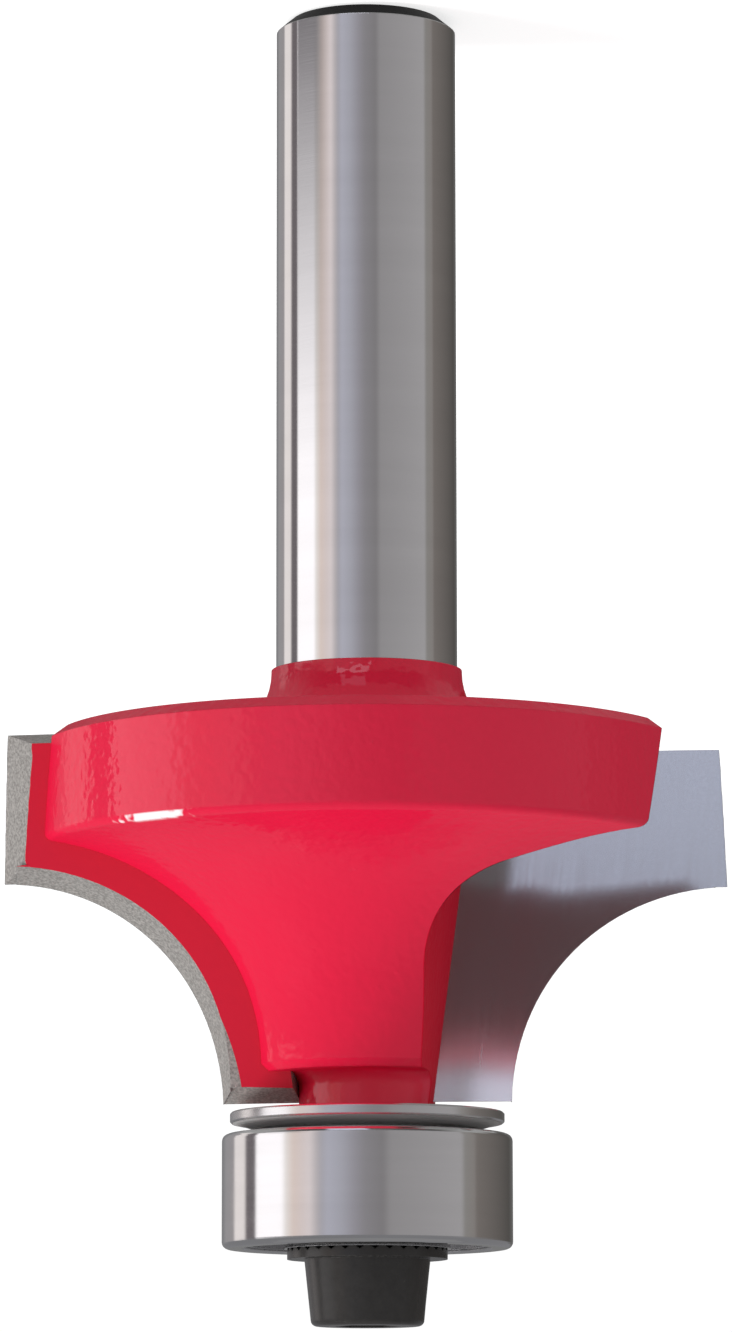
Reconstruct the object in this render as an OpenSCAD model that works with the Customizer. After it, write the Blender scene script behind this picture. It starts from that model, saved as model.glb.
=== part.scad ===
// Cove router bit with two brazed cutting tips, guided by a ball bearing.
// It stands on the end of its shank. +Z runs from there up to the bearing and its screw,
// and the Z axis is the axis that the bit turns about.

/* [Shank] */
// Diameter of the shank that the collet grips
shank_d = 8; // [6:0.5:9]
// Length of the bare shank, from its end up to the neck
shank_l = 29.4; // [20:0.2:60]
// Radial width of the chamfer round the end of the shank
end_chamfer_w = 0.65; // [0.2:0.05:1]
// Height of the chamfer round the end of the shank
end_chamfer_h = 0.55; // [0.2:0.05:1]

/* [Neck and disc] */
// How far the neck stands out from the shank
neck_step = 0.21; // [0.05:0.01:0.6]
// Straight length of the neck before its fillet
neck_l = 0.1; // [0.05:0.05:3]
// Radius of the fillet from the neck into the disc
neck_fillet = 2.9; // [1:0.1:4]
// Radial width of the chamfer on the shank side of the disc
disc_chamfer_w = 0.6; // [0.2:0.05:1.2]
// Height of the chamfer on the shank side of the disc
disc_chamfer_h = 0.47; // [0.2:0.05:1.2]
// Rounding of the disc's rim where the cove begins
rim_round = 0.4; // [0.1:0.05:0.7]

/* [Cutting profile] */
// Radius of the cove that the bit cuts
cove_r = 9.53; // [7:0.01:12]
// Height of the straight edge beside the cove
land_h = 6.35; // [4:0.05:10]
// Step from the disc's shank side up to the start of the straight edge
tip_step = 0.18; // [0:0.02:1]
// How far the body stands back from the cut, square to the profile
body_back = 1.5; // [1:0.05:1.7]
// How much further the body stands back towards the shank, where its cove is nearly level
cove_back = 0.28; // [0:0.01:0.5]

/* [Tips] */
// Thickness of a tip
tip_t = 1.7; // [1.2:0.1:2.4]
// Angle by which the rake faces lean forward, seen along the axis
hook = 8; // [0:1:12]
// Angle by which the rake faces lean over along the axis
shear = 16; // [0:1:18]
// Lean of a tip's inner edge within its rake face
edge_lean = 5; // [0:1:7]
// Clearance angle ground behind the cutting edges, along the cove and at both ends of a tip
relief = 17; // [10:1:20]
// Clearance angle ground behind the straight edge
land_relief = 24; // [10:1:26]
// Height above the foot of the cove at which the rake planes meet the axis
rake_rise = 0.47; // [0:0.01:2]

/* [Gullets] */
// Distance from the axis to the floor of a gullet
core_half = 2.83; // [2.6:0.01:3.2]
// Greatest distance from a rake face across its gullet
gullet_w = 9.9; // [7:0.1:10]
// Radius between the floor and the far wall of a gullet
gullet_r = 3.3; // [1.5:0.1:3.5]
// Angle by which the far wall closes in on the rake face outwards
gullet_taper = 7; // [0:1:10]

/* [Foot of the body] */
// How far the body's end face stays short of the foot of the cutting edges
foot_back = 1.26; // [0.8:0.01:2]
// Chamfer round the body's end face
foot_chamfer = 0.3; // [0.1:0.05:0.5]
// Diameter of the stub between the end face and the dust washer
stub_d = 6; // [5.4:0.1:7]
// Fillet between the end face and the stub
stub_fillet = 0.6; // [0.2:0.05:0.8]
// Gap between the foot of the cutting edges and the dust washer
washer_gap = 0.43; // [0.3:0.01:1.5]

/* [Dust washer] */
// Diameter of the dust washer
washer_d = 12; // [11:0.1:12.6]
// Thickness of the washer's rim
washer_rim_t = 0.48; // [0.3:0.02:0.6]
// Thickness of the washer at its boss, which touches only the inner race
washer_t = 0.96; // [0.8:0.02:1.5]
// Diameter of the washer's boss
washer_boss_d = 6.9; // [6:0.1:7]

/* [Bearing] */
// Outer diameter of the bearing, which sets where the cove ends
bearing_d = 12.7; // [12:0.1:14]
// Bore of the bearing
bearing_bore = 4.7625; // [4.5:0.0125:5]
// Width of the bearing
bearing_w = 4.978; // [4.5:0.001:6]
// Rounding of the outer race's corners
race_round = 0.3; // [0.1:0.05:0.4]
// Diameter of a ball
ball_d = 2.381; // [2:0.001:2.4]
// Diameter of the circle that the balls run on
pitch_d = 8.73; // [8.6:0.01:8.9]
// Depth of the ball grooves below the races' lands
groove_depth = 0.45; // [0.3:0.01:0.5]
// Gap between a ball and the bottom of its groove
ball_gap = 0.015; // [0.01:0.005:0.03]
// Thickness of a shield
shield_t = 0.2; // [0.15:0.01:0.25]
// Thickness of a snap ring
snap_t = 0.25; // [0.2:0.01:0.3]

/* [Bearing screw] */
// Nominal diameter of the screw's thread
screw_d = 3; // [2.5:0.1:3.4]
// Length of thread below the screw's flange
screw_l = 8; // [5:0.5:10]
// Diameter of the flange that clamps the inner race
flange_d = 7; // [6.4:0.1:7.2]
// Thickness of the flange
flange_t = 0.45; // [0.35:0.05:1]
// Depth of the serrations under the flange
tooth_h = 0.14; // [0.05:0.01:0.2]
// Diameter of the head where it meets the flange
head_d = 5.5; // [5:0.1:6]
// Diameter of the head at its free end
head_end_d = 4.95; // [4.5:0.05:5]
// Height of the head above the flange
head_h = 2.9; // [2:0.1:5]
// Rounding of the head's free end
head_round = 0.27; // [0.1:0.01:0.4]
// Width across the flats of the hexagon socket
socket_w = 2.5; // [2:0.1:3]
// Depth of the hexagon socket
socket_depth = 1.9; // [1:0.1:2.2]

/* [Hidden] */

// Colours of the real finishes
paint_red = [0.78, 0.08, 0.17];
carbide_grey = [0.58, 0.59, 0.60];
bright_steel = [0.75, 0.75, 0.77];
cage_steel = [0.66, 0.64, 0.58];
black_steel = [0.17, 0.17, 0.17];

// A little more than nothing, by which a cut runs past the face that it opens
past = 0.5;
// Gap between pieces that slide together by hand
slip_gap = 0.01;

shank_r = shank_d / 2;
neck_r = shank_r + neck_step;
disc_z = shank_l + neck_l + neck_fillet;

// The cutting profile: a straight edge from edge_z up to corner_z, then a quarter-round cove
// about (cut_r, cove_z) that ends in line with the bearing's rim
cut_r = bearing_d / 2 + cove_r;
edge_z = disc_z + tip_step;
corner_z = edge_z + land_h;
cove_z = corner_z + cove_r;

// The body follows the cutting profile, standing back from it
disc_r = cut_r - body_back;
body_cove_r = cove_r + body_back;
body_cove_z = cove_z - cove_back;
foot_z = cove_z - foot_back;
foot_r = cut_r - sqrt(pow(body_cove_r, 2) - pow(body_cove_z - foot_z, 2));
// Centre of the rounding between the rim and the cove, and where it meets the cove
round_x = disc_r - rim_round;
round_z = body_cove_z - sqrt(pow(body_cove_r + rim_round, 2) - pow(cut_r - round_x, 2));
round_angle = atan2(body_cove_z - round_z, cut_r - round_x);
round_end = [round_x, round_z] + rim_round * [cos(round_angle), sin(round_angle)];

// Heights of what is stacked on the body's foot
stub_r = stub_d / 2;
washer_z = cove_z + washer_gap;
bearing_z = washer_z + washer_t;
bearing_mid = bearing_z + bearing_w / 2;
bearing_top = bearing_z + bearing_w;
flange_top = bearing_top + flange_t;
head_top = flange_top + head_h;

// The pilot carries the bearing and ends just below the screw's flange
pilot_r = bearing_bore / 2 - slip_gap;
pilot_short = 0.25;
pilot_top = bearing_top - pilot_short;
pilot_chamfer = 0.2;

// The screw's hole: radial gap round the thread, depth left under the screw, and drill point
thread_gap = 0.02;
hole_run_on = 1;
drill_point = 118;

// Flat steps in the rounding between the floor and the far wall of a gullet
gullet_steps = 24;

// The rake plane crosses the axis at this height
rake_z = cove_z + rake_rise;

// The washer's broken edge, its narrow flat rim, and the cone that rises from the rim to the web
washer_bore_r = pilot_r + slip_gap;
washer_edge = 0.07;
washer_rim_w = 0.21;
washer_cone_w = 0.9;
washer_web_rise = 0.26;

// Lands of the races, and their grooves, which are ground a little wider than the balls
ball_n = 7;
ball_r = ball_d / 2;
pitch_r = pitch_d / 2;
inner_land_r = pitch_r - ball_r + groove_depth;
outer_land_r = pitch_r + ball_r - groove_depth;
groove_r = ball_r * 1.05;
race_edge = 0.2;

// Each shield seats on a shoulder of the outer race, and a snap ring in a groove holds it there
seat_depth = 0.32;
seat_edge = 0.08;
snap_depth = 0.2;
snap_w = 0.5;
snap_below = 0.15;
snap_opening = 1.2;
shield_clear = 0.1;
shield_lip_l = 0.2;
shield_seat_r = outer_land_r + seat_depth;
shield_z = bearing_w / 2 - snap_below - snap_t - shield_t;
snap_z = shield_z + shield_t;
snap_r = shield_seat_r + snap_depth;

// The cage's two halves are pressed from strip and arch over the balls
cage_t = 0.16;
cage_gap = 0.06;
cage_side = 0.22;
cage_outer_r = outer_land_r - cage_side;
cage_ball_r = ball_r + cage_gap;

// Serrations under the screw's flange, and the screw's point
flange_r = flange_d / 2;
tooth_n = 34;
tooth_w = 0.4;
tooth_start = 0.1;
screw_point = 0.4;

// Points on an arc about c, from angle a0 to angle a1
function arc(c, r, a0, a1, n) =
    [for (i = [0:n]) c + r * [cos(a0 + (a1 - a0) * i / n), sin(a0 + (a1 - a0) * i / n)]];

// Directions of the first wing, which lies along +X and cuts towards +Y:
// out along its rake face, level and square to that, and the rake face's normal
out_dir = [cos(hook), sin(hook), 0];
side_dir = [-sin(hook), cos(hook), 0];
rake_normal = side_dir * cos(shear) - [0, 0, sin(shear)];

// Moves its children to the first rake plane: X runs out along it, Y is its normal and
// Z runs up it beside the tip's inner edge
module on_rake() {
    translate([0, 0, rake_z]) rotate([0, 0, hook]) rotate([-shear, 0, 0])
        rotate([0, -edge_lean, 0]) children();
}

// Half section of the turned body, from the axis out
module body_section() {
    difference() {
        union() {
            // Shank
            polygon([[0, 0], [shank_r - end_chamfer_w, 0], [shank_r, end_chamfer_h],
                     [shank_r, shank_l + past], [0, shank_l + past]]);
            // Neck and its fillet
            translate([0, shank_l]) square([neck_r, disc_z - shank_l + past]);
            difference() {
                translate([0, shank_l + neck_l]) square([neck_r + neck_fillet, neck_fillet + past]);
                translate([neck_r + neck_fillet, shank_l + neck_l])
                    circle(r = neck_fillet, $fn = 96);
            }
            // Disc, and the blank that the cove is cut into
            polygon([[0, disc_z], [disc_r - disc_chamfer_w, disc_z],
                     [disc_r, disc_z + disc_chamfer_h], [disc_r, foot_z], [0, foot_z]]);
            // Stub and its fillet
            translate([0, corner_z]) square([stub_r, washer_z - corner_z]);
            difference() {
                translate([0, corner_z])
                    square([stub_r + stub_fillet, foot_z + stub_fillet - corner_z]);
                translate([stub_r + stub_fillet, foot_z + stub_fillet])
                    circle(r = stub_fillet, $fn = 48);
            }
            // Pilot
            polygon([[0, corner_z], [pilot_r, corner_z], [pilot_r, pilot_top - pilot_chamfer],
                     [pilot_r - pilot_chamfer, pilot_top], [0, pilot_top]]);
        }
        // The cove that stands back behind the cut
        translate([cut_r, body_cove_z]) circle(r = body_cove_r, $fn = 180);
        // Rounded rim
        polygon(concat(arc([round_x, round_z], rim_round, 0, round_angle, 6),
                       [[round_end.x, round_end.y + past], [disc_r + past, round_end.y + past],
                        [disc_r + past, round_z]]));
        // Chamfered end face
        polygon([[foot_r - foot_chamfer, foot_z], [foot_r - foot_chamfer, foot_z + past],
                 [foot_r + past, foot_z + past], [foot_r + past, foot_z - foot_chamfer - past]]);
    }
}

// Slot that the gullet cutter mills: the tip's seat, the floor, the rounding and the far wall
module gullet_section() {
    end = core_half + cut_r;
    centre = [core_half + gullet_r, gullet_w - gullet_r];
    rounding = arc(centre, gullet_r, 90 - gullet_taper, 180, gullet_steps);
    polygon(concat(
        [[core_half, -tip_t], [end, -tip_t],
         [end, rounding[0].y - (end - rounding[0].x) * tan(gullet_taper)]],
        rounding));
}

// One gullet, milled along the leaning rake face right through the disc and the foot
module gullet() {
    below = (rake_z - shank_l) / cos(shear);
    above = (washer_z + past - rake_z + gullet_w * sin(shear)) / cos(shear);
    on_rake() translate([0, 0, -below]) linear_extrude(height = below + above) gullet_section();
}

// Threaded hole for the bearing screw, drilled with a cone at its bottom
module screw_hole() {
    hole_r = screw_d / 2 + thread_gap;
    hole_z = bearing_top - screw_l - hole_run_on;
    rotate_extrude($fn = 48)
        polygon([[0, hole_z - hole_r / tan(drill_point / 2)], [hole_r, hole_z],
                 [hole_r, pilot_top + past], [0, pilot_top + past]]);
}

// Shank, disc, cove, stub and pilot, turned from one bar, with two milled gullets
module cutter_body() {
    color(paint_red)
    difference() {
        rotate_extrude($fn = 180) body_section();
        gullet();
        rotate([0, 0, 180]) gullet();
        screw_hole();
    }
}

// Distance up the rake face, for a point at height z that lies w in front of that face
function up_rake(z, w) = (z - rake_z + w * sin(shear)) / cos(shear);
// Level distance of the same point from the axis, square to the rake face's outward line
function beside(z, w) = w * cos(shear) + up_rake(z, w) * sin(shear);
// Point of the rake face at radius r and height z
function edge_point(r, z) =
    out_dir * sqrt(r * r - pow(beside(z, 0), 2)) + side_dir * beside(z, 0) + [0, 0, z];
// Point level with the tip's inner edge at height z, w in front of the rake face and past inside it
function inner_point(z, w) =
    let (inner = core_half - past,
         v = (up_rake(z, w) - inner * sin(edge_lean)) / cos(edge_lean))
    out_dir * (inner * cos(edge_lean) - v * sin(edge_lean)) + side_dir * beside(z, w) + [0, 0, z];

// A point straight behind the cutting edge along its relief, w in front of the rake face.
// drop is how fast the profile falls away there, as [outwards, upwards] in units of the relief's slope.
function relief_point(p, drop, w) =
    let (out = [p.x, p.y, 0] / norm([p.x, p.y]),
         behind = [out.y, -out.x, 0],
         ruling = behind - tan(relief) * (out * drop.x + [0, 0, drop.y]))
    p + ruling * w / (rake_normal * ruling);

// Cutting edge of a tip as [radius, height, outwards, upwards], from the shank side round to the foot
land_steps = 6;
cove_steps = 30;
land_drop = tan(land_relief) / tan(relief);
edge_line = concat(
    [[cut_r, edge_z, land_drop, -1]],
    [for (i = [1:land_steps - 1]) [cut_r, edge_z + land_h * i / land_steps, land_drop, 0]],
    [[cut_r, corner_z, land_drop, 1]],
    [for (i = [1:cove_steps - 1]) let (a = 90 * i / cove_steps)
        [cut_r - cove_r * sin(a), cove_z - cove_r * cos(a), sin(a), cos(a)]],
    [[cut_r - cove_r, cove_z, 1, 1]]);

// Outline of a tip w in front of its rake face
function tip_outline(w) =
    concat([inner_point(edge_z - w * tan(relief), w)],
           [for (e = edge_line) relief_point(edge_point(e[0], e[1]), [e[2], e[3]], w)],
           [inner_point(cove_z + w * tan(relief), w)]);

// The relief that is ground behind the cutting edge, run past the rake face and the back
module relief_form() {
    front = tip_outline(past);
    back = tip_outline(-tip_t - past);
    n = len(front);
    sides = [for (i = [0:n - 1]) let (j = (i + 1) % n) each [[j, i, n + i], [j, n + i, n + j]]];
    polyhedron(points = concat(front, back),
               faces = concat([[for (i = [0:n - 1]) i]], [[for (i = [n - 1:-1:0]) n + i]], sides),
               convexity = 4);
}

// A tip: a plate on the rake plane, ground so that its edge lies on the turned cutting profile
// and everything behind the edge falls away by the relief angle
module cutting_tip() {
    intersection() {
        on_rake() translate([core_half, -tip_t, -head_top]) cube([cut_r, tip_t, head_top * 2]);
        relief_form();
    }
}

// The tip whose rake face is seen from the front of the bit
module cutting_tip_front() {
    color(carbide_grey) rotate([0, 0, 180]) cutting_tip();
}

// The tip on the other side
module cutting_tip_back() {
    color(carbide_grey) cutting_tip();
}

// Turned washer that keeps dust off the bearing and bears only on its inner race
module dust_washer() {
    r = washer_d / 2;
    web_t = washer_rim_t + washer_web_rise;
    color(bright_steel) translate([0, 0, washer_z]) rotate_extrude($fn = 128)
        polygon([[washer_bore_r, 0], [r - washer_edge, 0], [r, washer_edge],
                 [r, washer_rim_t - washer_edge], [r - washer_edge, washer_rim_t],
                 [r - washer_rim_w, washer_rim_t], [r - washer_rim_w - washer_cone_w, web_t],
                 [washer_boss_d / 2, web_t], [washer_boss_d / 2, washer_t],
                 [washer_bore_r, washer_t]]);
}

// Inner race, a slip fit on the pilot
module bearing_inner_race() {
    half = bearing_w / 2;
    bore_r = bearing_bore / 2;
    color(bright_steel) translate([0, 0, bearing_mid]) rotate_extrude($fn = 128) difference() {
        polygon([[bore_r, race_edge - half], [bore_r + race_edge, -half], [inner_land_r, -half],
                 [inner_land_r, half], [bore_r + race_edge, half], [bore_r, half - race_edge]]);
        translate([pitch_r - ball_r - ball_gap + groove_r, 0]) circle(r = groove_r, $fn = 64);
    }
}

// Upper half of the outer race's section: rim, rounded corner, snap ring groove and shield seat
function outer_race_half() =
    let (half = bearing_w / 2,
         corner = [bearing_d / 2 - race_round, half - race_round],
         snap_end = snap_z + snap_t + slip_gap)
    concat(arc(corner, race_round, 0, 90, 6),
           [[shield_seat_r + seat_edge, half], [shield_seat_r, half - seat_edge], [shield_seat_r, snap_end],
            [snap_r, snap_end], [snap_r, snap_z], [shield_seat_r, snap_z],
            [shield_seat_r, shield_z], [outer_land_r, shield_z]]);

// Outer race, which rolls along the work
module bearing_outer_race() {
    upper = outer_race_half();
    lower = [for (i = [len(upper) - 1:-1:0]) [upper[i].x, -upper[i].y]];
    color(bright_steel) translate([0, 0, bearing_mid]) rotate_extrude($fn = 180) difference() {
        polygon(concat(upper, lower));
        translate([pitch_r + ball_r + ball_gap - groove_r, 0]) circle(r = groove_r, $fn = 64);
    }
}

// Places its children at ball i
module at_ball(i) {
    translate([0, 0, bearing_mid]) rotate([0, 0, i * 360 / ball_n]) translate([pitch_r, 0, 0])
        children();
}

module bearing_ball(i) {
    color(bright_steel) at_ball(i) sphere(r = ball_r, $fn = 48);
}

// A ring of rectangular section, standing on z = 0
module ring(inner, outer, height) {
    difference() {
        cylinder(r = outer, h = height, $fn = 96);
        translate([0, 0, -past]) cylinder(r = inner, h = height + 2 * past, $fn = 96);
    }
}

// Radial cylinder at each ball, from just outside the inner land
module at_each_ball(r) {
    for (i = [0:ball_n - 1])
        rotate([0, 90, i * 360 / ball_n]) translate([0, 0, inner_land_r])
            cylinder(r = r, h = ball_d, $fn = 64);
}

// Half of the pressed cage, above the balls' centres: a flat strip that arches over each ball
module cage_half() {
    difference() {
        intersection() {
            ring(inner_land_r + cage_side, cage_outer_r, cage_ball_r + 2 * cage_t);
            union() {
                cylinder(r = cage_outer_r + cage_gap, h = cage_t, $fn = 96);
                at_each_ball(cage_ball_r + cage_t);
            }
        }
        at_each_ball(cage_ball_r);
    }
}

module cage_lower() {
    color(cage_steel) translate([0, 0, bearing_mid]) rotate([180, 0, 0]) cage_half();
}

module cage_upper() {
    color(cage_steel) translate([0, 0, bearing_mid]) cage_half();
}

// Upper shield: a pressed disc in the outer race that clears the inner race
module shield_half() {
    in_r = inner_land_r + shield_clear;
    rim_r = shield_seat_r - slip_gap;
    rotate_extrude($fn = 128)
        polygon([[in_r, shield_z - shield_lip_l], [in_r + shield_t, shield_z - shield_lip_l],
                 [in_r + shield_t, shield_z], [rim_r, shield_z], [rim_r, snap_z], [in_r, snap_z]]);
}

module shield_lower() {
    color(bright_steel) translate([0, 0, bearing_mid]) rotate([180, 0, 0]) shield_half();
}

module shield_upper() {
    color(bright_steel) translate([0, 0, bearing_mid]) shield_half();
}

// Upper snap ring: an open ring sprung into the outer race's groove over the shield
module snap_half() {
    difference() {
        translate([0, 0, snap_z]) ring(snap_r - snap_w, snap_r - slip_gap, snap_t);
        translate([0, -snap_opening / 2, shield_z])
            cube([bearing_d, snap_opening, bearing_w / 2]);
    }
}

module snap_ring_lower() {
    color(bright_steel) translate([0, 0, bearing_mid]) rotate([180, 0, 0]) snap_half();
}

module snap_ring_upper() {
    color(bright_steel) translate([0, 0, bearing_mid]) snap_half();
}

// Screw with a serrated flange that clamps the inner race, washer and body together
module bearing_screw() {
    head_r = head_d / 2;
    end_r = head_end_d / 2;
    thread_end = bearing_top - screw_l;
    thread_r = screw_d / 2;
    color(black_steel) difference() {
        rotate_extrude($fn = 96)
            polygon(concat(
                [[0, thread_end], [thread_r - screw_point, thread_end],
                 [thread_r, thread_end + screw_point], [thread_r, bearing_top],
                 [flange_r, bearing_top], [flange_r, flange_top], [head_r, flange_top]],
                arc([end_r - head_round, head_top - head_round], head_round, 0, 90, 6),
                [[0, head_top]]));
        for (i = [0:tooth_n - 1])
            rotate([0, 0, i * 360 / tooth_n])
                translate([bearing_bore / 2 + tooth_start, 0, bearing_top])
                rotate([90, 0, 90]) linear_extrude(height = flange_r)
                    polygon([[-tooth_w, -tooth_h], [tooth_w, -tooth_h], [0, tooth_h]]);
        translate([0, 0, head_top - socket_depth])
            cylinder(r = socket_w / 2 / cos(30), h = socket_depth + past, $fn = 6);
    }
}

cutter_body();
cutting_tip_front();
cutting_tip_back();
dust_washer();
bearing_inner_race();
bearing_outer_race();
bearing_ball(0);  // bearing_ball_1
bearing_ball(1);  // bearing_ball_2
bearing_ball(2);  // bearing_ball_3
bearing_ball(3);  // bearing_ball_4
bearing_ball(4);  // bearing_ball_5
bearing_ball(5);  // bearing_ball_6
bearing_ball(6);  // bearing_ball_7
cage_lower();
cage_upper();
shield_lower();
shield_upper();
snap_ring_lower();
snap_ring_upper();
bearing_screw();
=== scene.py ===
import math

import bpy
from mathutils import Matrix, Vector

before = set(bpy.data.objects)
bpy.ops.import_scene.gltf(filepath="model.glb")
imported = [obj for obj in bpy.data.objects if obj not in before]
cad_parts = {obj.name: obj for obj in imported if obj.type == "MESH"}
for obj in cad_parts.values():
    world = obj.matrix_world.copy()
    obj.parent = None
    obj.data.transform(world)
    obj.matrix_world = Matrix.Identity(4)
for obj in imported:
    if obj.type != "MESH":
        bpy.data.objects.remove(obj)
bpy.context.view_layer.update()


# ---- Camera ----
# The bit stands on the end of its shank, and the photograph shows it the other way up. The camera
# looks a little down on it from the front, rolled by half a turn about its line of sight.

look_down = math.radians(8.37)
camera_roll = math.radians(-0.074)
camera_place = (0.00003, -0.2633, 0.0679)

camera_data = bpy.data.cameras.new("camera")
camera_data.lens = 162.85
camera_data.sensor_width = 36
camera_data.clip_start = 0.01
camera_data.clip_end = 10
camera = bpy.data.objects.new("camera", camera_data)
bpy.context.scene.collection.objects.link(camera)
camera_axes = Matrix((
    (-1, 0, 0),
    (0, -math.sin(look_down), -math.cos(look_down)),
    (0, -math.cos(look_down), math.sin(look_down)),
)).transposed().to_4x4()
camera.matrix_world = (Matrix.Translation(camera_place) @ camera_axes
                       @ Matrix.Rotation(camera_roll, 4, "Z"))
bpy.context.scene.camera = camera


# ---- Cutter body: shank, neck, disc, cove and stub ----
# One bar of alloy steel, turned and milled, hardened, and then ground on the shank. Everything from
# the neck to the stub is sprayed with gloss red paint; the end of the shank is painted near black
# as a painted dark reflection.

# Millimetres, and heights are up the bit from the end of its shank. The paint laps over the end of
# the ground shank, and its edge waves a little.
MM = 0.001
shank_length = 29.4
end_chamfer = 0.55
pilot_radius = 2.4
pilot_foot = 48.9
paint_lap = 0.012
paint_wave = 0.02

# The painted glint on the rim's foot, a highlight painted white into the paint's colour, is at an
# angle from the front towards +X. Its half width in degrees and its half height in millimetres each
# give where it starts to fade and where it has ended.
rim_foot = (36.97, 37.33)
rim_inner_radius = 12.5
glint_angle = 46.5
glint_width = (3.5, 7.5)
glint_height = (0.10, 0.19)

# The two wings lie on planes that lean over along the bit, and cross its axis at rake_height. Each
# is given by its normal, and by the direction out along it, for the wing at +X; the other is half
# a turn round.
rake_height = 48.93
rake_normal = (-0.1338, 0.9519, -0.2756)
rake_outwards = (0.9832, 0.1624, 0.0838)
tip_thickness = 1.7

# The gullet runs in front of the rake plane, with its floor beside the core. Surfaces nearer than
# gullet_skin to the cutter's path are its walls, and the far wall is the one across from the tip.
# Both walls carry painted shade.
gullet_floor = 2.83
gullet_rounding = 3.3
gullet_width = 9.9
gullet_taper = math.tan(math.radians(7))
gullet_skin = 0.04
far_wall_front = (4.5, 7.5)
far_wall_out = (gullet_floor + 0.1, gullet_floor + 1.4)

paint_red = (0.82, 0.0075, 0.053, 1)
thin_paint_red = (0.64, 0.006, 0.038, 1)
# Painted shade for the gullets: a deeper red on their walls, and near black on the far wall
gullet_painted_shade_red = (0.74, 0.003, 0.030, 1)
far_wall_painted_shade = (0.15, 0.005, 0.012, 1)
# A painted highlight: the white of the glint on the rim's foot
painted_glint_white = (1.0, 0.96, 0.98, 1)
shank_steel = ((0.74, 0.735, 0.73, 1), (0.82, 0.815, 0.81, 1))
# A painted dark reflection for the shank's end
end_painted_reflection_black = (0.022, 0.021, 0.022, 1)


def add(tree, kind, inputs=None, **settings):
    """Adds a shader node, sets it up, and joins or sets its inputs."""
    made = tree.nodes.new(kind)
    for name, value in settings.items():
        setattr(made, name, value)
    for name, value in (inputs or {}).items():
        if isinstance(value, bpy.types.NodeSocket):
            tree.links.new(value, made.inputs[name])
        else:
            made.inputs[name].default_value = value
    return made


def calc(tree, operation, *values, clamp=False):
    """One step of arithmetic on numbers or sockets."""
    made = add(tree, "ShaderNodeMath", dict(enumerate(values)),
               operation=operation, use_clamp=clamp)
    return made.outputs[0]


def opposite(tree, mask):
    """1 where the mask is 0, and 0 where it is 1."""
    return calc(tree, "SUBTRACT", 1, mask)


def both(tree, first, second):
    """1 where both masks are 1. Also weakens a mask, where the second is a number."""
    return calc(tree, "MULTIPLY", first, second)


def either(tree, first, second):
    """1 where either mask is 1."""
    return calc(tree, "MAXIMUM", first, second)


def step_up(tree, value, low, high):
    """0 below low, 1 above high, and smooth between them."""
    return add(tree, "ShaderNodeMapRange", {"Value": value, "From Min": low, "From Max": high},
               interpolation_type="SMOOTHSTEP").outputs["Result"]


def between(tree, mask, first, second):
    """The first colour where the mask is 0, the second where it is 1."""
    made = add(tree, "ShaderNodeMix", {0: mask, 6: first, 7: second}, data_type="RGBA")
    return made.outputs[2]


def blend_value(tree, mask, first, second):
    """The first number where the mask is 0, the second where it is 1."""
    return add(tree, "ShaderNodeMix", {0: mask, 2: first, 3: second}).outputs[0]


def vector(tree, operation, first, second=None, scale=None):
    """One step of arithmetic on vectors."""
    inputs = {0: first}
    if second is not None:
        inputs[1] = second
    if scale is not None:
        inputs["Scale"] = scale
    return add(tree, "ShaderNodeVectorMath", inputs, operation=operation).outputs


def place(tree):
    """Position on the bit in millimetres: x, y, z and the distance from the bit's axis."""
    spot = vector(tree, "SCALE", add(tree, "ShaderNodeTexCoord").outputs["Object"],
                  scale=1 / MM)[0]
    x, y, z = add(tree, "ShaderNodeSeparateXYZ", {0: spot}).outputs
    flat = add(tree, "ShaderNodeCombineXYZ", {0: x, 1: y})
    return spot, x, y, z, vector(tree, "LENGTH", flat.outputs[0])["Value"]


def new_group(name, inputs, outputs):
    """A shader node group with named number inputs and the outputs given as (name, kind)."""
    tree = bpy.data.node_groups.new(name, "ShaderNodeTree")
    for label, value in inputs:
        socket = tree.interface.new_socket(name=label, in_out="INPUT",
                                           socket_type="NodeSocketFloat")
        socket.default_value = value
    for label, kind in outputs:
        tree.interface.new_socket(name=label, in_out="OUTPUT", socket_type=kind)
    return tree, tree.nodes.new("NodeGroupInput"), tree.nodes.new("NodeGroupOutput")


def use(tree, group, **values):
    """Places a group in a material with its own values."""
    made = tree.nodes.new("ShaderNodeGroup")
    made.node_tree = group
    for name, value in values.items():
        made.inputs[name.replace("_", " ")].default_value = value
    return made.outputs


def make_turned_lines():
    """Fine rings left by turning or grinding about the bit's axis, in short arcs, wider streaks,
    and the smudges of handling."""
    tree, given, result = new_group(
        "turned lines", [("Lines per mm", 12), ("Streaks per mm", 1.2)],
        [(label, "NodeSocketFloat") for label in ("Lines", "Streaks", "Smudges")])
    spot, x, y, z, radius = place(tree)
    along = calc(tree, "ADD", z, radius)

    def rings(flat_scale, per_mm, **look):
        stretched = add(tree, "ShaderNodeCombineXYZ", {
            0: calc(tree, "MULTIPLY", x, flat_scale),
            1: calc(tree, "MULTIPLY", y, flat_scale),
            2: calc(tree, "MULTIPLY", along, given.outputs[per_mm])})
        return add(tree, "ShaderNodeTexNoise", {"Vector": stretched.outputs[0], "Scale": 1, **look})

    lines = rings(0.5, "Lines per mm", Detail=3, Roughness=0.7)
    streaks = rings(0.1, "Streaks per mm", Detail=2)
    smudges = add(tree, "ShaderNodeTexNoise", {"Vector": spot, "Scale": 0.35, "Detail": 4,
                                               "Roughness": 0.6})
    tree.links.new(lines.outputs[0], result.inputs["Lines"])
    tree.links.new(streaks.outputs[0], result.inputs["Streaks"])
    tree.links.new(smudges.outputs[0], result.inputs["Smudges"])
    return tree


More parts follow.
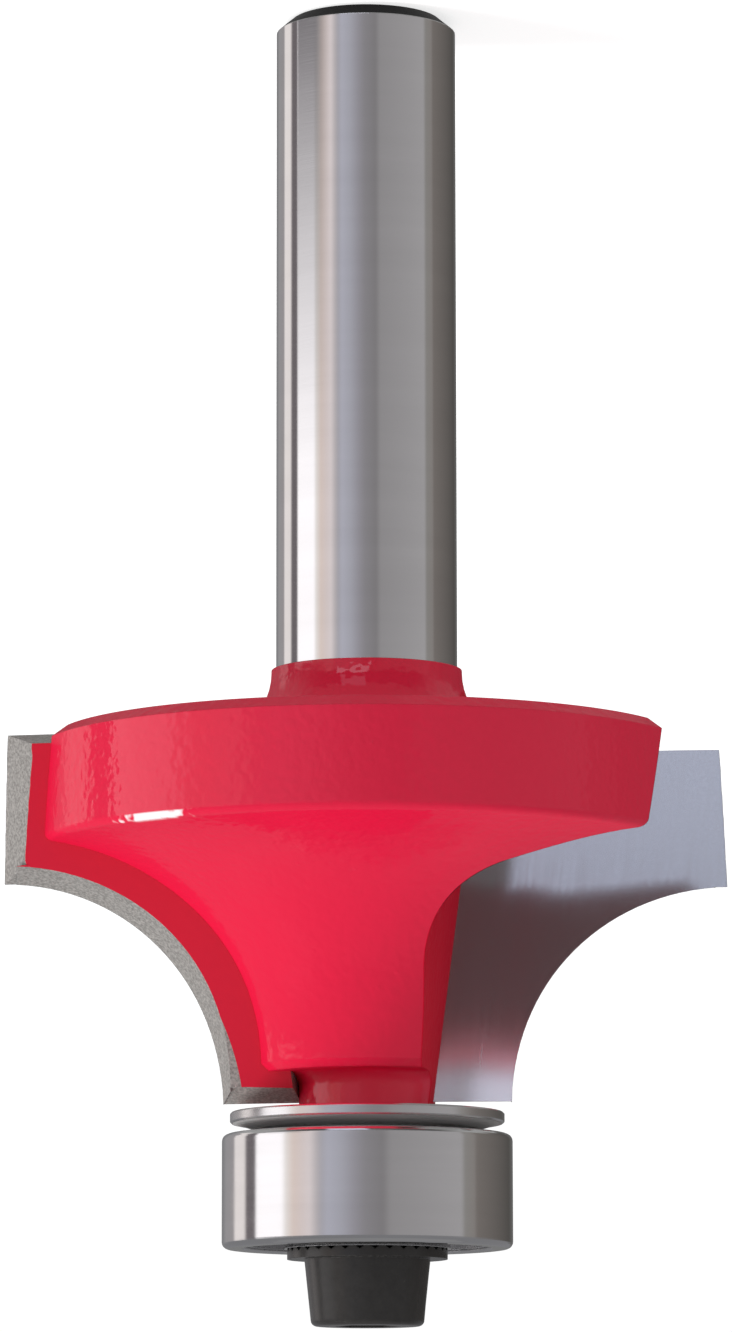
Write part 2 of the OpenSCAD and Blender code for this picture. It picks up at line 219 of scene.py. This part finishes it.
def make_orange_peel():
    """The soft ripple of sprayed paint, with a few dust nibs under it."""
    tree, given, result = new_group(
        "orange peel", [("Ripples per mm", 1.5), ("Nibs per mm", 0.9)],
        [(label, "NodeSocketFloat") for label in ("Height", "Nibs", "Cloud")])
    spot = place(tree)[0]
    ripple = add(tree, "ShaderNodeTexNoise", {
        "Vector": spot, "Scale": given.outputs["Ripples per mm"], "Detail": 1.0, "Roughness": 0.4})
    nib = add(tree, "ShaderNodeTexVoronoi", {
        "Vector": spot, "Scale": given.outputs["Nibs per mm"]})
    peaks = opposite(tree, step_up(tree, nib.outputs["Distance"], 0.0, 0.11))
    cloud = add(tree, "ShaderNodeTexNoise", {"Vector": spot, "Scale": 0.25, "Detail": 3})
    tree.links.new(ripple.outputs[0], result.inputs["Height"])
    tree.links.new(peaks, result.inputs["Nibs"])
    tree.links.new(cloud.outputs[0], result.inputs["Cloud"])
    return tree


def make_worn_edges():
    """Edges that handling has broken: a mask along them, and the normal of their tiny rounding."""
    tree, given, result = new_group(
        "worn edges", [("Width mm", 0.06), ("Speckle per mm", 6)],
        [("Mask", "NodeSocketFloat"), ("Normal", "NodeSocketVector")])
    width = calc(tree, "MULTIPLY", given.outputs["Width mm"], MM)
    rounding = add(tree, "ShaderNodeBevel", {"Radius": width}, samples=4).outputs[0]
    flat = add(tree, "ShaderNodeNewGeometry").outputs["Normal"]
    turned = opposite(tree, vector(tree, "DOT_PRODUCT", rounding, flat)["Value"])
    speckle = add(tree, "ShaderNodeTexNoise", {
        "Vector": place(tree)[0], "Scale": given.outputs["Speckle per mm"], "Detail": 2})
    mask = calc(tree, "MULTIPLY", step_up(tree, turned, 0.004, 0.12),
                step_up(tree, speckle.outputs[0], 0.35, 0.6), clamp=True)
    tree.links.new(mask, result.inputs["Mask"])
    tree.links.new(rounding, result.inputs["Normal"])
    return tree


turned_lines = make_turned_lines()
orange_peel = make_orange_peel()
worn_edges = make_worn_edges()


def on_wing(tree, spot, turn):
    """Distance out along a wing's rake plane, and distance in front of it, in millimetres."""
    raised = vector(tree, "ADD", spot, (0, 0, -rake_height))[0]
    return [vector(tree, "DOT_PRODUCT", raised, (x * turn, y * turn, z))["Value"]
            for x, y, z in (rake_outwards, rake_normal)]


def in_gullet(tree, spot, turn):
    """1 on the walls that the gullet cutter has left and 0 elsewhere, and 1 on the far wall
    alone. Each distance is above 0 outside the cutter's path."""
    out, front = on_wing(tree, spot, turn)
    floor = calc(tree, "SUBTRACT", gullet_floor, out)
    past_corner = calc(tree, "SUBTRACT", out, gullet_floor + gullet_rounding)
    wall = calc(tree, "SUBTRACT", front,
                calc(tree, "MULTIPLY_ADD", past_corner, -gullet_taper, gullet_width))
    corner_out = calc(tree, "SUBTRACT", gullet_floor + gullet_rounding, out)
    corner_front = calc(tree, "SUBTRACT", front, gullet_width - gullet_rounding)
    squares = [calc(tree, "POWER", calc(tree, "MAXIMUM", side, 0), 2)
               for side in (corner_out, corner_front)]
    corner = calc(tree, "SQRT", calc(tree, "ADD", *squares))
    rounding = calc(tree, "SUBTRACT", corner, gullet_rounding)
    seat = calc(tree, "SUBTRACT", -tip_thickness, front)
    deep = either(tree, either(tree, floor, wall), either(tree, rounding, seat))
    inside = calc(tree, "LESS_THAN", deep, gullet_skin)
    far = both(tree, step_up(tree, front, *far_wall_front), step_up(tree, out, *far_wall_out))
    return inside, both(tree, inside, far)


def new_material(name):
    """A material with one Principled shader, and its node tree."""
    material = bpy.data.materials.new(name)
    material.use_nodes = True
    return material, material.node_tree, material.node_tree.nodes["Principled BSDF"]


def join(tree, shader, **sockets):
    """Feeds or sets the shader's inputs, named with _ for a space."""
    for name, value in sockets.items():
        label = name.replace("_", " ")
        if isinstance(value, bpy.types.NodeSocket):
            tree.links.new(value, shader.inputs[label])
        else:
            shader.inputs[label].default_value = value


def dress(material, *nodes):
    """Gives the material to every slot of the named CAD nodes."""
    for name in nodes:
        for slot in bpy.data.objects[name].material_slots:
            slot.material = material


def make_cutter_finish():
    """Red paint, bare ground steel on the shank and on the pilot, and a painted dark reflection in
    near black on the shank's end.
    """
    material, tree, shader = new_material("painted cutter")
    spot, x, y, z, radius = place(tree)
    lines = use(tree, turned_lines, Lines_per_mm=14, Streaks_per_mm=1.1)
    peel = use(tree, orange_peel, Ripples_per_mm=2.4, Nibs_per_mm=0.8)
    edges = use(tree, worn_edges, Width_mm=0.07, Speckle_per_mm=5)

    # The paint ends in a slightly uneven line at the neck
    paint_line = calc(tree, "MULTIPLY_ADD", peel["Height"], paint_wave, shank_length - paint_lap)
    shank = calc(tree, "LESS_THAN", z, paint_line)
    pilot = both(tree, calc(tree, "GREATER_THAN", z, pilot_foot),
                 calc(tree, "LESS_THAN", radius, pilot_radius))
    bare = either(tree, shank, pilot)
    # Painted reflection: the shank's end and its chamfer are painted near black, and are rougher
    # and less metallic
    scale = calc(tree, "LESS_THAN", z, end_chamfer - 0.01)
    painted = opposite(tree, bare)
    back_gullet, back_wall = in_gullet(tree, spot, 1)
    front_gullet, front_wall = in_gullet(tree, spot, -1)
    gullets = both(tree, either(tree, back_gullet, front_gullet), painted)
    far_walls = both(tree, either(tree, back_wall, front_wall), painted)

    # Paint lies thin over edges and is a shade deeper there
    red = between(tree, both(tree, edges["Mask"], 0.5), paint_red, thin_paint_red)
    red = between(tree, both(tree, peel["Cloud"], 0.12), red, thin_paint_red)
    # Painted shade: the gullet walls are painted a deeper red and left dull without coat, and the
    # far wall is painted near black where shade falls deep in the gullet
    red = between(tree, gullets, red, gullet_painted_shade_red)
    red = between(tree, far_walls, red, far_wall_painted_shade)
    # Painted highlight: a glint is painted white on the rim's foot at one spot, with a ragged
    # outline
    around = calc(tree, "ARCTAN2", x, calc(tree, "MULTIPLY", y, -1))
    around = calc(tree, "MULTIPLY", around, math.degrees(1))
    ragged = calc(tree, "MULTIPLY_ADD", peel["Height"], 14, around)
    sideways = calc(tree, "ABSOLUTE", calc(tree, "SUBTRACT", ragged, glint_angle))
    painted_glint = both(tree, opposite(tree, step_up(tree, sideways, *glint_width)),
                 calc(tree, "GREATER_THAN", radius, rim_inner_radius))
    ridge = calc(tree, "ABSOLUTE", calc(tree, "SUBTRACT", z, sum(rim_foot) / 2))
    painted_glint = both(tree, painted_glint, opposite(tree, step_up(tree, ridge, *glint_height)))
    red = between(tree, painted_glint, red, painted_glint_white)

    colour = between(tree, bare, red, between(tree, lines["Streaks"], *shank_steel))
    colour = between(tree, scale, colour, end_painted_reflection_black)
    metal = calc(tree, "SUBTRACT", bare, both(tree, scale, 0.6), clamp=True)
    rough = blend_value(tree, bare, calc(tree, "MULTIPLY_ADD", peel["Cloud"], 0.10, 0.45),
                        calc(tree, "MULTIPLY_ADD", lines["Lines"], 0.08, 0.03))
    rough = blend_value(tree, scale, rough, 0.42)
    # The lacquer shines less at a glancing angle than clear glass would
    facing = add(tree, "ShaderNodeLayerWeight", {"Blend": 0.5}).outputs["Facing"]
    coat = opposite(tree, both(tree, step_up(tree, facing, 0.35, 0.9), 0.85))
    coat = both(tree, coat, opposite(tree, either(tree, bare, gullets)))

    height = blend_value(tree, bare,
                         calc(tree, "MULTIPLY_ADD", peel["Nibs"], 0.25, peel["Height"]),
                         calc(tree, "MULTIPLY", lines["Lines"], 0.012))
    bump = add(tree, "ShaderNodeBump", {"Strength": 1.0, "Distance": 0.03 * MM, "Height": height,
                                        "Normal": edges["Normal"]}).outputs[0]
    join(tree, shader, Base_Color=colour, Metallic=metal, Roughness=rough, Anisotropic=0.3,
         Specular_IOR_Level=0.1, Normal=bump, Coat_Weight=coat, Coat_Roughness=0.06, Coat_IOR=1.5,
         Coat_Normal=bump)
    return material


dress(make_cutter_finish(), "cutter_body")


# ---- Cutting tips ----
# Plates of sintered tungsten carbide, brazed into the gullets before painting. The rake faces are
# lapped, the relief is diamond ground to a matt grey, and the backs keep the body's paint.

# The relief wheel has run on over the back along the cove. From the height band_start upwards, the
# inner edge of this ground band is a curve in distance out and height, furthest in at band_inmost.
band_start = 43.5
band_inmost = (5.07, 48.1)
band_curve = 0.051

# The lapping wheel leaves the rake face duller towards its foot, slightly hollow beside the gullet
# floor, then dipped, and rounded at the foot. Each runs from one height or distance to the other.
rake_dulled = (43.4, 46.2)
rake_hollow = (gullet_floor + 1.0, gullet_floor + 3.4)
rake_dip = (43.4, 45.0)
rake_round = (45.6, 48.4)

ground_carbide = ((0.28, 0.265, 0.25, 1), (0.52, 0.495, 0.47, 1))
ground_speck = (0.72, 0.70, 0.68, 1)
lapped_carbide = ((0.61, 0.62, 0.65, 1), (0.65, 0.66, 0.69, 1))
lapped_speck = (0.4, 0.4, 0.43, 1)
lapped_streak = (0.66, 0.67, 0.70, 1)
broken_edge = (0.6, 0.6, 0.6, 1)
tip_paint_red = (0.66, 0.007, 0.034, 1)


def make_tip_finish(name, turn):
    """turn is 1 for the tip at +X and -1 for the one at -X, half a turn round the bit."""
    material, tree, shader = new_material(name)
    spot, _, _, z, _ = place(tree)
    out, depth = on_wing(tree, spot, turn)
    peel = use(tree, orange_peel, Ripples_per_mm=2.4, Nibs_per_mm=0.8)
    edges = use(tree, worn_edges, Width_mm=0.025, Speckle_per_mm=14)

    # The rake face, and the painted part of the back
    rake = calc(tree, "GREATER_THAN", depth, -0.02)
    back = calc(tree, "LESS_THAN", depth, 0.02 - tip_thickness)
    below = calc(tree, "SUBTRACT", band_inmost[1], z)
    inner = calc(tree, "MULTIPLY_ADD", calc(tree, "POWER", below, 2), band_curve, band_inmost[0])
    band = both(tree, calc(tree, "GREATER_THAN", out, inner),
                calc(tree, "GREATER_THAN", z, band_start))
    back = both(tree, back, opposite(tree, band))

    # Sintered grain: a fine salt-and-pepper speckle with a few bright and dark grains
    grain = add(tree, "ShaderNodeTexNoise", {
        "Vector": spot, "Scale": 8, "Detail": 2, "Roughness": 0.6}).outputs[0]
    pits = add(tree, "ShaderNodeTexVoronoi", {"Vector": spot, "Scale": 3.2, "Randomness": 1})
    speck = opposite(tree, step_up(tree, pits.outputs["Distance"], 0.04, 0.12))
    ground = between(tree, step_up(tree, grain, 0.3, 0.7), *ground_carbide)
    ground = between(tree, both(tree, speck, 0.7), ground, ground_speck)
    lapped = between(tree, step_up(tree, grain, 0.35, 0.65), *lapped_carbide)
    lapped = between(tree, both(tree, speck, 0.15), lapped, lapped_speck)
    # The lapping wheel runs up and down the rake face and leaves streaks along it
    across = add(tree, "ShaderNodeCombineXYZ", {0: calc(tree, "MULTIPLY", out, 5),
                                                1: calc(tree, "MULTIPLY", z, 0.22)})
    streaks = add(tree, "ShaderNodeTexNoise", {
        "Vector": across.outputs[0], "Scale": 1, "Detail": 3, "Roughness": 0.6}).outputs[0]
    lapped = between(tree, step_up(tree, streaks, 0.3, 0.75), lapped, lapped_streak)
    carbide = between(tree, rake, ground, lapped)
    carbide = between(tree, both(tree, edges["Mask"], 0.4), carbide, broken_edge)
    red = between(tree, both(tree, peel["Cloud"], 0.3), tip_paint_red, thin_paint_red)
    colour = between(tree, back, carbide, red)
    metal = both(tree, blend_value(tree, rake, 0.35, 0.8), opposite(tree, back))

    ground_rough = calc(tree, "MULTIPLY_ADD", grain, 0.2, 0.45)
    lapped_rough = calc(tree, "MULTIPLY_ADD", step_up(tree, z, *rake_dulled), 0.12, 0.10)
    lapped_rough = calc(tree, "MULTIPLY_ADD", streaks, 0.08, lapped_rough)
    rough = blend_value(tree, rake, ground_rough, lapped_rough)
    rough = blend_value(tree, back, rough, 0.38)
    grain_height = calc(tree, "MULTIPLY", grain, blend_value(tree, rake, 0.5, 0.0))
    height = blend_value(tree, back, grain_height, peel["Height"])

    # The hollow, the dip and the rounding are too slight for the mesh, and only turn the normal
    hollow = opposite(tree, step_up(tree, out, *rake_hollow))
    hollow = calc(tree, "MULTIPLY", both(tree, hollow, rake), 0.165)
    rounded = calc(tree, "MULTIPLY_ADD", step_up(tree, z, *rake_round), 0.115,
                   calc(tree, "MULTIPLY_ADD", streaks, 0.02, -0.01))
    rounded = calc(tree, "MULTIPLY_ADD", step_up(tree, z, *rake_dip), -0.045, rounded)
    upwards = add(tree, "ShaderNodeCombineXYZ", {2: both(tree, rounded, rake)}).outputs[0]
    wing_x, wing_y, wing_z = rake_outwards
    outwards = vector(tree, "SCALE", (wing_x * turn, wing_y * turn, wing_z), scale=hollow)[0]
    bent = vector(tree, "ADD", vector(tree, "ADD", edges["Normal"], outwards)[0], upwards)[0]
    bent = vector(tree, "NORMALIZE", bent)[0]
    bump = add(tree, "ShaderNodeBump", {"Strength": 0.35, "Distance": 0.02 * MM, "Height": height,
                                        "Normal": bent}).outputs[0]
    join(tree, shader, Base_Color=colour, Metallic=metal, Roughness=rough,
         Specular_IOR_Level=0.25, Normal=bump, Coat_Weight=calc(tree, "MULTIPLY", back, 0.3),
         Coat_Roughness=0.12)
    return material


dress(make_tip_finish("carbide tip back", 1), "cutting_tip_back")
dress(make_tip_finish("carbide tip front", -1), "cutting_tip_front")


# ---- Dust washer ----
# Turned from free-cutting steel and left bright, with the fine rings of the last cut on its faces.
# It is clamped between the body's stub and the inner race.

washer_steel = ((0.72, 0.71, 0.70, 1), (0.84, 0.835, 0.83, 1))
washer_matt_radius = 5.88
rubbed_steel = (0.86, 0.855, 0.85, 1)


def make_turned_steel(name, tones, roughness, lines_per_mm, depth, matt_radius=None):
    """Bright steel with rings about the bit's axis, between two tones. Inside the matt radius, in
    millimetres, the surface is as the lathe left it."""
    material, tree, shader = new_material(name)
    lines = use(tree, turned_lines, Lines_per_mm=lines_per_mm, Streaks_per_mm=1.4)
    edges = use(tree, worn_edges, Width_mm=0.04, Speckle_per_mm=8)
    colour = between(tree, lines["Streaks"], *tones)
    colour = between(tree, both(tree, edges["Mask"], 0.3), colour, rubbed_steel)
    smear = step_up(tree, lines["Smudges"], 0.45, 0.75)
    rough = calc(tree, "MULTIPLY_ADD", lines["Lines"], 0.10, roughness)
    rough = calc(tree, "MULTIPLY_ADD", smear, 0.05, rough)
    metal = 1.0
    if matt_radius:
        matt = calc(tree, "LESS_THAN", place(tree)[4], matt_radius)
        rough = calc(tree, "MULTIPLY_ADD", matt, 0.25, rough)
        metal = calc(tree, "MULTIPLY_ADD", matt, -0.7, 1)
    bump = add(tree, "ShaderNodeBump", {"Strength": depth, "Distance": 0.003 * MM,
                                        "Height": lines["Lines"], "Normal": edges["Normal"]})
    join(tree, shader, Base_Color=colour, Metallic=metal, Roughness=rough, Anisotropic=0.3,
         Normal=bump.outputs[0])
    return material


dress(make_turned_steel("turned washer steel", washer_steel, 0.16, 9, 0.4, washer_matt_radius),
      "dust_washer")


# ---- Bearing races ----
# Through-hardened chrome steel rings, ground all over and honed in the ball grooves. The outer race
# rolls on the work; the inner race is a slip fit on the pilot.

race_steel = ((0.74, 0.735, 0.73, 1), (0.82, 0.815, 0.81, 1))

dress(make_turned_steel("ground race steel", race_steel, 0.04, 16, 0.25),
      "bearing_inner_race", "bearing_outer_race")


# ---- Bearing balls ----
# Seven 3/32 inch balls of chrome steel, lapped to a mirror. Each turns in its own pocket of the
# cage.

ball_steel = ((0.80, 0.80, 0.79, 1), (0.86, 0.86, 0.86, 1))


def make_ball_steel():
    """Mirror steel with a breath of haze and a trace of oil."""
    material, tree, shader = new_material("lapped ball steel")
    spot = place(tree)[0]
    haze = add(tree, "ShaderNodeTexNoise", {"Vector": spot, "Scale": 3, "Detail": 4})
    oil = add(tree, "ShaderNodeTexNoise", {"Vector": spot, "Scale": 0.9, "Detail": 2})
    join(tree, shader, Base_Color=between(tree, oil.outputs[0], *ball_steel), Metallic=1.0,
         Roughness=calc(tree, "MULTIPLY_ADD", haze.outputs[0], 0.06, 0.02))
    return material


dress(make_ball_steel(), *[f"bearing_ball_{number}" for number in range(1, 8)])


# ---- Ball cage ----
# Two halves pressed from soft strip, tumbled to take off the burrs, so they are a little dull
# and warm in tone.

cage_steel = ((0.50, 0.47, 0.41, 1), (0.62, 0.59, 0.52, 1))
rubbed_strip = (0.8, 0.79, 0.77, 1)


def make_strip_steel(name, tones, roughness):
    """Strip steel with the drawn scratches of rolling and a tumbled, uneven sheen."""
    material, tree, shader = new_material(name)
    spot = place(tree)[0]
    edges = use(tree, worn_edges, Width_mm=0.03, Speckle_per_mm=10)
    stretched = vector(tree, "MULTIPLY", spot, (1.2, 14, 14))[0]
    rolled = add(tree, "ShaderNodeTexNoise", {"Vector": stretched, "Scale": 1, "Detail": 3})
    dull = add(tree, "ShaderNodeTexNoise", {
        "Vector": spot, "Scale": 1.6, "Detail": 4, "Roughness": 0.65}).outputs[0]
    colour = between(tree, dull, *tones)
    colour = between(tree, both(tree, edges["Mask"], 0.3), colour, rubbed_strip)
    rough = calc(tree, "MULTIPLY_ADD", dull, 0.18, roughness)
    bump = add(tree, "ShaderNodeBump", {"Strength": 0.3, "Distance": 0.003 * MM,
                                        "Height": rolled.outputs[0], "Normal": edges["Normal"]})
    join(tree, shader, Base_Color=colour, Metallic=1.0, Roughness=rough, Normal=bump.outputs[0])
    return material


dress(make_strip_steel("pressed cage steel", cage_steel, 0.24), "cage_lower", "cage_upper")


# ---- Shields and snap rings ----
# Shields are blanked from rolled sheet and sit on a shoulder in the outer race, where an open ring
# of spring wire holds each of them.

shield_steel = ((0.56, 0.56, 0.56, 1), (0.66, 0.66, 0.665, 1))

dress(make_strip_steel("rolled shield steel", shield_steel, 0.18),
      "shield_lower", "shield_upper", "snap_ring_lower", "snap_ring_upper")


# ---- Bearing screw ----
# Socket screw with a serrated flange, cold headed from alloy steel and blackened in an oxide bath,
# which leaves a satin black that has rubbed a little paler along its edges.

oxide_black = ((0.036, 0.034, 0.033, 1), (0.062, 0.059, 0.056, 1))
rubbed_oxide = (0.16, 0.155, 0.15, 1)


def make_black_oxide():
    """Satin black with the cloudy bloom of the bath over fine turned rings."""
    material, tree, shader = new_material("black oxide")
    lines = use(tree, turned_lines, Lines_per_mm=7, Streaks_per_mm=2)
    edges = use(tree, worn_edges, Width_mm=0.06, Speckle_per_mm=9)
    bloom = add(tree, "ShaderNodeTexNoise", {
        "Vector": place(tree)[0], "Scale": 2.2, "Detail": 5, "Roughness": 0.65}).outputs[0]
    colour = between(tree, bloom, *oxide_black)
    colour = between(tree, both(tree, edges["Mask"], 0.6), colour, rubbed_oxide)
    rough = calc(tree, "MULTIPLY_ADD", bloom, 0.16, 0.16)
    height = calc(tree, "MULTIPLY_ADD", lines["Lines"], 0.2, calc(tree, "MULTIPLY", bloom, 0.5))
    bump = add(tree, "ShaderNodeBump", {"Strength": 0.4, "Distance": 0.004 * MM, "Height": height,
                                        "Normal": edges["Normal"]})
    join(tree, shader, Base_Color=colour, Metallic=0.35, Roughness=rough, Normal=bump.outputs[0])
    return material


dress(make_black_oxide(), "bearing_screw")


# ---- Studio: floor, panels and lamps ----
# A plain white floor under the bit, with soft boxes and dark cards standing round it. The panels
# are there for the bright steel to mirror, and the lamps for all other light.

# The camera sees the floor as paper white, except in the bit's shadow
floor_half = 3.0
floor_white = (0.60, 0.60, 0.60, 1)
floor_glow = 0.72

square = ((-1, -1), (1, -1), (1, 1), (-1, 1))

mesh = bpy.data.meshes.new("floor")
mesh.from_pydata([(x * floor_half, y * floor_half, 0) for x, y in square], [], [(0, 1, 2, 3)])
floor = bpy.data.objects.new("floor", mesh)
bpy.context.scene.collection.objects.link(floor)
material, tree, shader = new_material("white floor")
seen = add(tree, "ShaderNodeLightPath").outputs["Is Camera Ray"]
join(tree, shader, Base_Color=floor_white, Roughness=0.9, Specular_IOR_Level=0.0,
     Emission_Color=(1, 1, 1, 1), Emission_Strength=calc(tree, "MULTIPLY", seen, floor_glow))
mesh.materials.append(material)
floor.visible_glossy = False


def stage_panel(name, corners, faces):
    """A panel that only shows in polished surfaces. Gives its material's tree and its light."""
    mesh = bpy.data.meshes.new(name)
    mesh.from_pydata(corners, [], faces)
    panel = bpy.data.objects.new(name, mesh)
    bpy.context.scene.collection.objects.link(panel)
    panel.visible_camera = panel.visible_diffuse = panel.visible_shadow = False
    panel.visible_transmission = panel.visible_volume_scatter = False
    material = bpy.data.materials.new(name)
    material.use_nodes = True
    tree = material.node_tree
    tree.nodes.remove(tree.nodes["Principled BSDF"])
    light = add(tree, "ShaderNodeEmission")
    tree.links.new(light.outputs[0], tree.nodes["Material Output"].inputs["Surface"])
    mesh.materials.append(material)
    return tree, light


# The wall goes all round. Angles are in degrees from the front (-Y) towards +X, and each row gives
# an angle and the wall's brightness there in red, green and blue. Heights are in metres, and where
# there are two, one tone fades into the next between them.
wall_radius = 0.4
wall_foot, wall_top = -0.45, 0.55
wall_tones = [
    (-180, (0.20, 0.20, 0.20)), (-150, (0.09, 0.085, 0.08)), (-96, (0.20, 0.18, 0.17)),
    (-93, (0.27, 0.25, 0.24)), (-83, (0.28, 0.27, 0.26)), (-79, (0.40, 0.39, 0.40)),
    (-18, (0.33, 0.32, 0.33)), (-12, (0.25, 0.24, 0.25)), (2, (0.29, 0.28, 0.30)),
    (10, (0.35, 0.34, 0.38)), (20, (0.44, 0.44, 0.50)), (31, (0.50, 0.50, 0.58)),
    (36, (0.46, 0.45, 0.50)), (40, (0.56, 0.52, 0.54)), (46, (0.82, 0.74, 0.75)),
    (52, (0.80, 0.70, 0.69)), (60, (0.82, 0.69, 0.64)), (67, (0.95, 0.90, 0.88)),
    (71, (1.30, 1.26, 1.30)), (97, (1.30, 1.26, 1.29)), (100, (0.17, 0.15, 0.16)),
    (110, (0.18, 0.16, 0.17)), (114, (0.92, 0.86, 0.85)), (128, (0.92, 0.86, 0.85)),
    (132, (0.36, 0.34, 0.35)), (150, (0.34, 0.33, 0.34)), (158, (0.25, 0.25, 0.26)),
    (180, (0.20, 0.20, 0.20)),
]
wall_brightest = 1.3
white_box_starts = (44, 70)
white_box_ends = 98
white_box_foot = (-0.103, -0.050)
white_box_foot_tone = (0.17, 0.16, 0.17, 1)
wall_upper = (0.07, 0.13)
wall_upper_tone = (0.17, 0.17, 0.18, 1)
wall_lower = (-0.18, -0.13)
wall_lower_tones = ((0.07, 0.07, 0.07, 1), (0.30, 0.30, 0.30, 1))
wall_sides = (math.radians(60), math.radians(100))


def round_share(degrees):
    """An angle in degrees as a share of the way round, from 0 at -180 to 1 at 180."""
    return (degrees + 180) / 360


segments = 96
turns = [2 * math.pi * number / segments for number in range(segments)]
ring = [(wall_radius * math.sin(turn), -wall_radius * math.cos(turn)) for turn in turns]
quads = []
for number in range(segments):
    following = (number + 1) % segments
    quads.append((number, following, segments + following, segments + number))
tree, light = stage_panel(
    "studio_wall", [(x, y, z) for z in (wall_foot, wall_top) for x, y in ring], quads)

x, y, z = add(tree, "ShaderNodeSeparateXYZ", {
    0: add(tree, "ShaderNodeTexCoord").outputs["Object"]}).outputs
angle = calc(tree, "ARCTAN2", x, calc(tree, "MULTIPLY", y, -1))
share = calc(tree, "MULTIPLY_ADD", angle, 1 / (2 * math.pi), 0.5)
tones = add(tree, "ShaderNodeValToRGB", {"Fac": share})
stops = tones.color_ramp.elements
for number, (degrees, tone) in enumerate(wall_tones):
    if number == 0:
        stop = stops[0]
    elif number == len(wall_tones) - 1:
        stop = stops[-1]
    else:
        stop = stops.new(round_share(degrees))
    stop.position = round_share(degrees)
    stop.color = [value / wall_brightest for value in tone] + [1]

# The white soft box is dimmer towards its foot, and all of them end a little above the bit, with a
# plain grey wall over them and a darker one under them, darkest in front
white = both(tree, step_up(tree, share, *[round_share(degrees) for degrees in white_box_starts]),
             calc(tree, "LESS_THAN", share, round_share(white_box_ends)))
dimmer = opposite(tree, add(tree, "ShaderNodeMapRange", {
    "Value": z, "From Min": white_box_foot[0], "From Max": white_box_foot[1]}).outputs["Result"])
middle = between(tree, both(tree, white, dimmer), tones.outputs[0], white_box_foot_tone)
upper = between(tree, step_up(tree, z, *wall_upper), middle, wall_upper_tone)
sideways = step_up(tree, calc(tree, "ABSOLUTE", angle), *wall_sides)
lower = between(tree, sideways, *wall_lower_tones)
tree.links.new(between(tree, step_up(tree, z, *wall_lower), lower, upper), light.inputs["Color"])
light.inputs["Strength"].default_value = wall_brightest


def card(name, centre, facing, width, height, tone):
    """A flat card that faces the bit."""
    normal = Vector(facing).normalized()
    upright = Vector((0, 0, 1)) if abs(normal.z) < 0.95 else Vector((0, 1, 0))
    side = normal.cross(upright).normalized() * width / 2
    up = side.cross(normal).normalized() * height / 2
    corners = [Vector(centre) + side * a + up * b for a, b in square]
    tree, light = stage_panel(name, corners, [(0, 1, 2, 3)])
    light.inputs["Color"].default_value = (*tone, 1)
    light.inputs["Strength"].default_value = 1.0


# The front tip's rake face mirrors the low and the mid card
card("ceiling", (0, 0, 0.5), (0, 0, -1), 1.0, 1.0, (0.26, 0.26, 0.27))
card("low_card", (0.125, -0.352, -0.29), (-0.24, 0.727, 0.643), 0.24, 0.20, (0.64, 0.68, 0.83))
card("mid_card", (0.10, -0.352, -0.152), (-0.25, 0.87, 0.43), 0.26, 0.055, (1.70, 1.75, 2.02))
card("card_below", (0, 0, -0.42), (0, 0, 1), 1.0, 1.0, (0.28, 0.28, 0.28))

lamp_distance = 0.6
lamp_size = 0.35
bit_middle = Vector((0, 0, 0.035))


def area_lamp(name, degrees, height, watts):
    """A soft box that isn't itself mirrored: degrees round from the front towards +X, and degrees
    above level."""
    data = bpy.data.lights.new(name, "AREA")
    data.shape = "DISK"
    data.size = lamp_size
    data.energy = watts
    lamp = bpy.data.objects.new(name, data)
    bpy.context.scene.collection.objects.link(lamp)
    around, above = math.radians(degrees), math.radians(height)
    away = Vector((math.sin(around) * math.cos(above), -math.cos(around) * math.cos(above),
                   math.sin(above)))
    lamp.location = bit_middle + away * lamp_distance
    lamp.rotation_euler = away.to_track_quat("Z", "Y").to_euler()
    lamp.visible_camera = lamp.visible_glossy = False


area_lamp("key", 75, 42, 2.7)
area_lamp("fill", -50, 12, 0.25)

# Plain light from all round, behind a white that only the camera, metal and glass see
world_light = 0.50
world = bpy.data.worlds.new("studio")
bpy.context.scene.world = world
world.use_nodes = True
tree = world.node_tree
rays = add(tree, "ShaderNodeLightPath").outputs
seen = either(tree, either(tree, rays["Is Camera Ray"], rays["Is Glossy Ray"]),
              rays["Is Transmission Ray"])
back = tree.nodes["Background"]
back.inputs["Color"].default_value = (1, 1, 1, 1)
tree.links.new(blend_value(tree, seen, world_light, 1.0), back.inputs["Strength"])

view = bpy.context.scene.view_settings
view.view_transform = "Standard"
